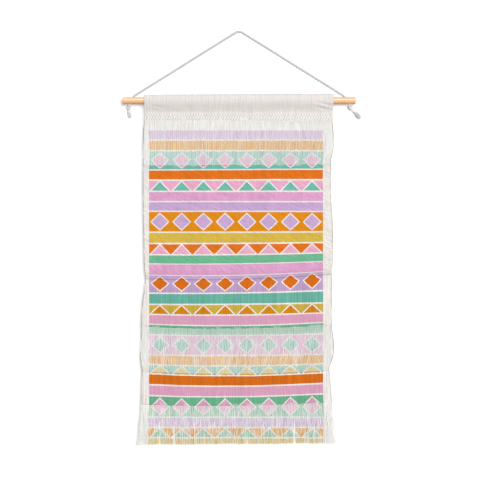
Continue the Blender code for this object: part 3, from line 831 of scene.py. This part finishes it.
# The rows of a block that hold lozenges and triangles. A lozenge's outline lies between two sizes, in
# half tiles, and a triangle's so far to either side of its edge.
LOZENGE_ROWS = (2.0, 4.0)
LOZENGE_MIDDLE = 3.0
NO_HAIRLINE = (2.9, 3.2)
LOZENGE_LINE = (0.72, 0.87)
LOZENGE_SIZE = 0.8
TRIANGLE_ROW = (5.0, 6.0)
TRIANGLE_LINE = 0.08
WANDER_SCALE = 700.0
COLOURS = {
    "orange": linear(223, 113, 23),
    "teal": linear(110, 184, 166),
    "pink": linear(229, 168, 197),
    "amber": linear(222, 138, 17),
    "lilac": linear(198, 166, 207),
    "green": linear(112, 184, 146),
    "yellow": linear(212, 180, 71),
    "orchid": linear(219, 160, 199),
}
BAR_ORDER = ("lilac", "amber", "teal", "yellow", "orange", "pink", "green", "orchid")
MOTIF_ORDER = ("yellow", "green", "orchid", "lilac", "orange", "teal", "pink", "amber")

printed, given, put = new_group("printed_panel", {"Bleed": 0.0}, {"Colour": "Color", "Ink": "Float"})
flat = node(printed, "UVMap", uv_map="cloth")
wander = node(printed, "TexNoise", {"Vector": flat, "Scale": WANDER_SCALE, "Detail": 2.0}).outputs["Color"]
wander = node(printed, "VectorMath", {0: wander, 1: (0.5, 0.5, 0.5)}, operation="SUBTRACT")
wander = node(printed, "VectorMath", {0: wander, "Scale": given["Bleed"]}, operation="SCALE")
x, y, _ = parts(printed, node(printed, "VectorMath", {0: flat, 1: wander}, operation="ADD"))
from_middle = abs(((x - PANEL_LEFT) / TILE).then("FRACT") - 0.5) * 2.0
rows_down = (y - PANEL_TOP) / ROW_PITCH
in_block = rows_down % ROWS_A_BLOCK
in_row = rows_down.then("FRACT")


def between(value, low, high):
    """1 where the value lies between two numbers."""
    return (value > low) * (value < high)


lozenge_row = between(in_block, *LOZENGE_ROWS)
triangle_row = between(in_block, *TRIANGLE_ROW)
row_line = (in_row < HAIRLINE).then("SUBTRACT", between(in_block, *NO_HAIRLINE), clamp=True)
lozenge = from_middle + abs(in_block - (LOZENGE_MIDDLE + HAIRLINE / 2))
lozenge_line = lozenge_row * between(lozenge, *LOZENGE_LINE)
lozenge_fill = lozenge_row * (lozenge < LOZENGE_SIZE)
triangle = in_block - (TRIANGLE_ROW[0] + HAIRLINE) - from_middle
triangle_line = triangle_row * between(triangle, -TRIANGLE_LINE, TRIANGLE_LINE)
triangle_fill = triangle_row * (triangle > 0.0)
bare = row_line.then("ADD", lozenge_line + triangle_line, clamp=True)
motif = lozenge_fill.then("ADD", triangle_fill, clamp=True)


def row_colours(order, shift):
    """A colour for each row down the panel. Both rows of a lozenge row share theirs."""
    ramp = node(printed, "ValToRGB", {0: rows_down.then("DIVIDE", PRINT_ROWS, clamp=True)})
    ramp.color_ramp.interpolation = "CONSTANT"
    stops = ramp.color_ramp.elements
    for row in range(PRINT_ROWS):
        shared = row - 1 if row % ROWS_A_BLOCK == 3 else row
        stop = stops[row] if row < 2 else stops.new(row / PRINT_ROWS)
        stop.position = row / PRINT_ROWS
        stop.color = COLOURS[order[(shared + shift * (row // ROWS_A_BLOCK)) % len(order)]]
    return ramp


inside = between(x, PANEL_LEFT, PANEL_RIGHT) * (y > PANEL_TOP)
join(mixed(printed, motif, row_colours(BAR_ORDER, 1), row_colours(MOTIF_ORDER, 3)), put["Colour"])
join(inside * (1.0 - bare), put["Ink"])

# Woven cotton: slanting twill in the first close part, upright ribs in the sleeve and below the crease
TWILL_PITCH = 1.8 * MM
TWILL_SLOPE = 0.55
HATCH_PITCH = 3.7 * MM
RIB_PITCH = 1.9 * MM
RIBS_START = CREASE * MM
PICK_PITCH = 1.3 * MM
PICK_HEIGHT = 0.35
FUZZ_HEIGHT = 1.2
# Noise in the weave: its scale, or one along each axis, and its detail
DRIFT = (160.0, 2.0)
FUZZ = (2600.0, 2.0)
STREAKS = ((330.0, 26.0, 1.0), 2.0)
SLUBS = ((420.0, 700.0, 1.0), 2.0)
HATCH = ((250.0, 60.0, 1.0), 1.0)
UNEVEN_ENDS = ((560.0, 16.0, 1.0), 1.0)
DRIFT_TURNS = 0.9
HATCH_WAVE = 0.2
# How much the weave is painted lighter on its ribs and darker between them, as painted light and shade
WEAVE_PAINTED_SHADE = 0.045
# The rows of hem stitches: the drop of each in millimetres, and its shift in stitches
STITCH_ROWS = ((142.7, 0.0), (146.1, 0.55), (149.6, 0.2))
STITCH_PITCH = 4.6 * MM
# Painted shade: dark lines where the weave changes and along the crease, and dark pits where the needle
# pricked the hem: where they fade, and their shades there
SHADED_EDGE_DROPS = (MAIN_PART[0], CREASE, MAIN_PART[1], *FOOT_PART)
EDGE_PAINTED_SHADE = (0.6 * MM, 1.4 * MM, 0.72, 1.0)
PRICK_SHADE_HEIGHT = (0.5 * MM, 1.3 * MM, 1.0, 0.0)
PRICK_SHADE_WIDTH = (0.28, 0.42)
PRICK_PAINTED_SHADE = 0.5
GROUND = linear(234, 228, 223)
# The selvedges, and the outermost yarn at each side of the bare warp, are painted darker than the cloth, as
# painted shade along the rolled edges
SELVEDGE_SHADED_GROUND = linear(182, 175, 168)
INK_ON_RIBS = 0.88
# The sleeve is double. Its colour is painted a little darker, as painted shade, fading out between these
# drops on the flat cloth
SLEEVE_PAINTED_SHADE = (138 * MM, 147 * MM, 0.945, 1.0)
woven, given, put = new_group(
    "woven_cotton", {"Relief": 0.3 * MM}, {"Shade": "Float", "Ink Shade": "Float", "Normal": "Vector"}
)
flat = node(woven, "UVMap", uv_map="cloth")
x, y, _ = parts(woven, flat)
drift = speckle(woven, flat, *DRIFT) * DRIFT_TURNS


def wave_of(turns):
    """The height of a wave after these turns."""
    return (turns * (2 * math.pi)).then("SINE")


downhill = y - x * TWILL_SLOPE
twill = wave_of(downhill / TWILL_PITCH + drift)
ribs = wave_of(x / RIB_PITCH + drift) + wave_of(y / PICK_PITCH) * PICK_HEIGHT
ribbed = abs(y - (RIBS_START + HEM_END * MM) / 2) > (RIBS_START - HEM_END * MM) / 2
weave = Value(node(woven, "Mix", {0: ribbed, 2: twill, 3: ribs}))
fuzz = speckle(woven, flat, *FUZZ)
height = fuzz * FUZZ_HEIGHT + weave
relief = node(woven, "Bump", {"Height": height, "Distance": given["Relief"], "Strength": 0.7})
streaks = speckle(woven, flat, *STREAKS)
slubs = speckle(woven, flat, *SLUBS)
hatch_place = node(woven, "CombineXYZ", {"X": downhill, "Y": x})
hatch = speckle(woven, hatch_place, *HATCH)
hatch = wave_of(hatch * DRIFT_TURNS + downhill / HATCH_PITCH) * HATCH_WAVE + hatch
# Below the crease the warp ends are more uneven than in the sleeve
ends_depth = (y > RIBS_START) * 0.8 + 0.9
uneven_ends = (speckle(woven, flat, *UNEVEN_ENDS) - 0.5) * ends_depth + 0.5
hatch = Value(node(woven, "Mix", {0: ribbed, 2: hatch, 3: uneven_ends}))
# Painted light and shade: the weave's ribs a little lighter and its grooves a little darker, on top of the
# sleeve's painted shade
shade = weave * WEAVE_PAINTED_SHADE + graded(woven, y, *SLEEVE_PAINTED_SHADE)
# Each unevenness, and how much it lightens or darkens the cloth
for unevenness, depth in ((streaks, 0.2), (hatch, 0.36), (slubs, 0.36), (fuzz, 0.2)):
    shade = (unevenness - 0.5) * depth + shade
# Painted shade along the lines where the weave changes and along the crease
for drop in SHADED_EDGE_DROPS:
    shade = shade * graded(woven, abs(y - drop * MM), *EDGE_PAINTED_SHADE)
# Painted shade in the pits where the needle went through the hem
for drop, shift in STITCH_ROWS:
    near = graded(woven, abs(y - (drop + 0.5) * MM), *PRICK_SHADE_HEIGHT)
    off_stitch = abs(((x - FLAT_LEFT) / STITCH_PITCH - shift).then("FRACT") - 0.5)
    shade = shade - near * graded(woven, off_stitch, *PRICK_SHADE_WIDTH) * PRICK_PAINTED_SHADE
join(shade, put["Shade"])
join(ribbed * (INK_ON_RIBS - 1) + 1.0, put["Ink Shade"])
join(relief, put["Normal"])


def cloth_finish(name, ground, ink_share, relief):
    """Woven cotton of this natural colour, with this share of the print's strength."""
    made, tree = new_material(name)
    weave = node(tree, "Group", {"Relief": relief}, node_tree=woven).outputs
    panel = node(tree, "Group", {"Bleed": 0.5 * MM}, node_tree=printed).outputs
    ink_colour = mixed(tree, 1.0, panel["Colour"], weave["Ink Shade"], "MULTIPLY")
    colour = mixed(tree, Value(panel["Ink"]) * ink_share, ground, ink_colour)
    colour = mixed(tree, 1.0, colour, weave["Shade"], "MULTIPLY")
    surface(tree, colour, 0.92, weave["Normal"], {"Specular IOR Level": 0.15, "Sheen Weight": 0.05})
    return made


cloth_face = cloth_finish("printed_cloth_face", GROUND, 1.0, 0.28 * MM)
cloth_back = cloth_finish("printed_cloth_back", GROUND, 0.42, 0.28 * MM)
shaded_selvedge = cloth_finish("cloth_selvedge_painted_shade", SELVEDGE_SHADED_GROUND, 0.0, 0.15 * MM)
cloth = skin.made("woven_cloth", [cloth_face, cloth_back, shaded_selvedge])
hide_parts("cloth")


# The bare warp: between the woven parts the cotton yarns run on alone, side by side, a little apart,
# and a few single picks of weft hold them near each woven edge.
YARNS = 240
YARN_RADIUS = 0.58 * MM
EDGE_YARN_RADIUS = 0.75 * MM
YARN_SIDES = 6
YARN_STEP = 4.0
UPPER_WANDER = 0.25 * MM
LOWER_WANDER = 0.48 * MM
YARN_BITE = 3.0
YARN_SLIP = 0.8 * MM
WARP_SEED = 11
PICK_RADIUS = 0.3 * MM
PICK_DISTANCES = (2.2, 4.6)
PICK_WAVE = 0.5 * MM
YARN_GROUND = linear(244, 242, 238)
WARP_TWIST = (2.2 * MM, 2.0, 0.12 * MM, 0.88)
EYE_GAMMA = 2.2
TIPS_FROM = 0.665
TIPS_TO = 0.718


def printed_yarn(name, least_ink, spread, at_tips=0.0):
    """Spun warp yarn. Each has taken its own share of the print, and more of it at its tip."""
    made, tree = new_material(name)
    twist = spun_twist(tree, WARP_TWIST)
    panel = node(tree, "Group", {"Bleed": 0.6 * MM}, node_tree=printed).outputs
    drop = parts(tree, node(tree, "UVMap", uv_map="cloth"))[1]
    taken = Value(twist["Yarn Chance"]) * spread + least_ink
    taken = taken + graded(tree, drop, TIPS_FROM, TIPS_TO, 0.0, at_tips)
    ink = taken * panel["Ink"]
    # Thin ink is mixed as the eye sees it, so that it stays bright
    seen_ground = node(tree, "Gamma", {0: YARN_GROUND, 1: 1 / EYE_GAMMA})
    seen_ink = node(tree, "Gamma", {0: panel["Colour"], 1: 1 / EYE_GAMMA})
    colour = node(tree, "Gamma", {0: mixed(tree, ink, seen_ground, seen_ink), 1: EYE_GAMMA})
    colour = mixed(tree, 1.0, colour, twist["Shade"], "MULTIPLY")
    surface(tree, colour, 0.9, twist["Normal"], {"Specular IOR Level": 0.15})
    return made


warp_finish = printed_yarn("printed_warp_yarn", 0.38, 0.14)
chance = random.Random(WARP_SEED)
yarn_shares = np.array([(n + 0.5 + chance.uniform(-0.28, 0.28)) / YARNS for n in range(YARNS)])
yarn_radii = np.array([YARN_RADIUS * chance.uniform(0.85, 1.15) for _ in range(YARNS)])


def wandering(count, depth):
    """A slow sideways drift along a yarn that dies out at both of its ends."""
    along = np.pi * np.linspace(0, 1, count)
    drift = 0.0
    for wave in (1, 2, 3, 5):
        drift = drift + chance.uniform(-1, 1) * np.sin(along * wave + chance.uniform(0, 1) * np.pi)
    return depth * drift * np.sin(along)


def pick_of_weft(skin, drop, number):
    """A single thin weft that passes over and under the bare warp."""
    u = np.linspace(0.002, 0.998, YARNS * 2)
    line = cloth_line(drop, u)
    marks = flat_places(line, drop)
    line[:, 1] += np.where(np.arange(len(u)) % 4 < 2, -1, 1) * (YARN_RADIUS * 0.9)
    line[:, 2] += np.array([noise.noise(Vector((share * 40, drop, 3.0))) for share in u]) * PICK_WAVE
    skin.tube(line, PICK_RADIUS, 4, number=number, places=marks)


for band_name, top, bottom, wander in (
    ("upper_bare_warp", HEM_END, MAIN_PART[0], UPPER_WANDER),
    ("lower_bare_warp", MAIN_PART[1], FOOT_PART[0], LOWER_WANDER),
):
    skin = Skin()
    drops = np.linspace(top - YARN_BITE, bottom + YARN_BITE, round((bottom - top) / YARN_STEP) + 1)
    lines = np.array([cloth_line(drop, yarn_shares) for drop in drops])
    for n in range(YARNS):
        line = lines[:, n].copy()
        marks = np.stack([line[:, 0], drops * MM + chance.uniform(-YARN_SLIP, YARN_SLIP)], axis=-1)
        line[:, 0] += wandering(len(drops), wander)
        line[:, 1] += wandering(len(drops), wander)
        skin.tube(line, yarn_radii[n], YARN_SIDES, number=n + 1, places=marks)
    for count, distance in enumerate(PICK_DISTANCES):
        pick_of_weft(skin, top + distance, YARNS + 2 + count)
        pick_of_weft(skin, bottom - distance, YARNS + 5 + count)
    # The outermost yarn at each side takes the selvedge's darker colour, as painted shade
    for u, inward in ((0.0, 1), (1.0, -1)):
        line = np.array([cloth_line(drop, np.array([u]))[0] for drop in drops])
        line[:, 0] += inward * EDGE_YARN_RADIUS
        skin.tube(line, EDGE_YARN_RADIUS, 8, number=YARNS + 10 + int(u), slot=1)
    band = skin.made(band_name, [warp_finish, shaded_selvedge])


# The hem stitching: three rows of white cotton thread, sewn by machine through the front and the back of
# the sleeve's foot, so that a row of short slanting stitches shows on both.
STITCH_LENGTH = 3.2 * MM
STITCH_RADIUS = 0.5 * MM
STITCH_SLANT = 0.6 * MM
STITCH_STEPS = 7
# How far the stitches stand before and behind the middle of the cloth, and how far their ends dip in
STITCH_SIDES = ((-1, 2.0 * MM), (1, 1.35 * MM))
STITCH_DIP = 0.7 * MM
THREAD_WHITE = linear(250, 248, 244)
THREAD_TWIST = (0.9 * MM, 3.0, 0.08 * MM, 0.9)

sewing_thread, tree = new_material("sewing_thread")
twist = spun_twist(tree, THREAD_TWIST)
surface(tree, mixed(tree, 1.0, THREAD_WHITE, twist["Shade"], "MULTIPLY"), 0.7, twist["Normal"], {})

skin = Skin()
number = 0
swing = np.linspace(-0.5, 0.5, STITCH_STEPS)
for drop, shift in STITCH_ROWS:
    for outward, depth in STITCH_SIDES:
        for n in range(1, int(FLAT_WIDTH / STITCH_PITCH) - 1):
            number += 1
            x = FLAT_LEFT + (n + shift + 0.5) * STITCH_PITCH
            middle = np.array((x, drape(x, drop * MM), -drop * MM))
            line = np.repeat(middle[None, :], STITCH_STEPS, axis=0)
            line[:, 0] += swing * STITCH_LENGTH
            line[:, 2] += swing * STITCH_SLANT
            line[:, 1] += outward * (depth - (2 * swing) ** 4 * STITCH_DIP)
            skin.tube(line, STITCH_RADIUS, 6, number=number)
stitches = skin.made("hem_stitches", [sewing_thread])


# The fringe: below the last woven part the warp yarns hang free. They cling together in small bunches,
# and the outer ones curl outwards.
FRINGE_STEPS = 17
FRINGE_UNEVEN = 0.9 * MM
BUNCHES = (2, 13)
BUNCH_PULL = (0.0, 0.18)
BUNCH_LEAN = 1.4 * MM
BUNCH_SWAY = 1.6 * MM
BUNCH_OPENING = (1.4, 3.0)
FRINGE_WANDER = 0.9 * MM
FRINGE_WAVE = 0.5 * MM
FRINGE_SLANT = 0.3 * MM
FLARE_CURVE = 1.2
SWAY_CURVE = 1.3
TIP_THINNING = 0.25
MARGIN = 16 * MM
FRINGE_SEED = 23

chance = random.Random(FRINGE_SEED)
skin = Skin()
end_row = np.array(FRINGE_END_ROW) * MM
cloth_end = np.array(CLOTH_ROWS[-1]) * MM
in_margin = MARGIN / FLAT_WIDTH
extra = [share + 0.5 / YARNS for share in yarn_shares[:-1] if min(share, 1 - share) < in_margin - 0.5 / YARNS]
fringe_shares = np.array(sorted([*yarn_shares, *extra]))
bunches = []
while len(bunches) < len(fringe_shares):
    size = min(chance.randint(*BUNCHES), len(fringe_shares) - len(bunches))
    lean, sway = chance.uniform(-BUNCH_LEAN, BUNCH_LEAN), chance.uniform(-BUNCH_SWAY, BUNCH_SWAY)
    pull, opening = chance.uniform(*BUNCH_PULL), chance.uniform(*BUNCH_OPENING)
    middle = fringe_shares[len(bunches) : len(bunches) + size].mean()
    bunches += [(middle, lean, sway, pull, opening)] * size
roots = cloth_line(CLOTH_ROWS[-1].drop_middle, fringe_shares)
share = np.linspace(0, 1, FRINGE_STEPS)
for n, (root, u) in enumerate(zip(roots, fringe_shares)):
    middle, lean, sway, pull, opening = bunches[n]
    corner = (end_row - cloth_end)[3 if u < 0.5 else 4]
    flare = corner * max(0.0, 1 - min(u, 1 - u) / in_margin)
    gather = lean + (middle - u) * FLAT_WIDTH * pull
    tip_drop = bowed(*end_row[:3], u) + chance.uniform(-FRINGE_UNEVEN, FRINGE_UNEVEN)
    wander, wave = wandering(FRINGE_STEPS, FRINGE_WANDER), wandering(FRINGE_STEPS, FRINGE_WAVE)
    slant = chance.uniform(-FRINGE_SLANT, FRINGE_SLANT)
    top = root[2] + YARN_BITE * MM
    line = np.empty((FRINGE_STEPS, 3))
    line[:, 0] = root[0] + flare * share**FLARE_CURVE + gather * share**opening + wander
    line[:, 1] = root[1] + sway * share**SWAY_CURVE + wave + slant * share
    line[:, 2] = top + (-tip_drop - top) * share
    radii = chance.choice(yarn_radii) * (1.0 - TIP_THINNING * share**6)
    marks = np.stack([np.full(FRINGE_STEPS, root[0]), -line[:, 2]], axis=-1)
    skin.tube(line, radii, YARN_SIDES, number=n + 1, places=marks)
fringe = skin.made("warp_fringe", [printed_yarn("printed_fringe_yarn", 0.32, 0.28, 0.24)])
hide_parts("fringe")

bare_length = (MAIN_PART[0] - HEM_END + FOOT_PART[0] - MAIN_PART[1]) * MM
woven_length + bare_length
FLAT_WIDTH * woven_length
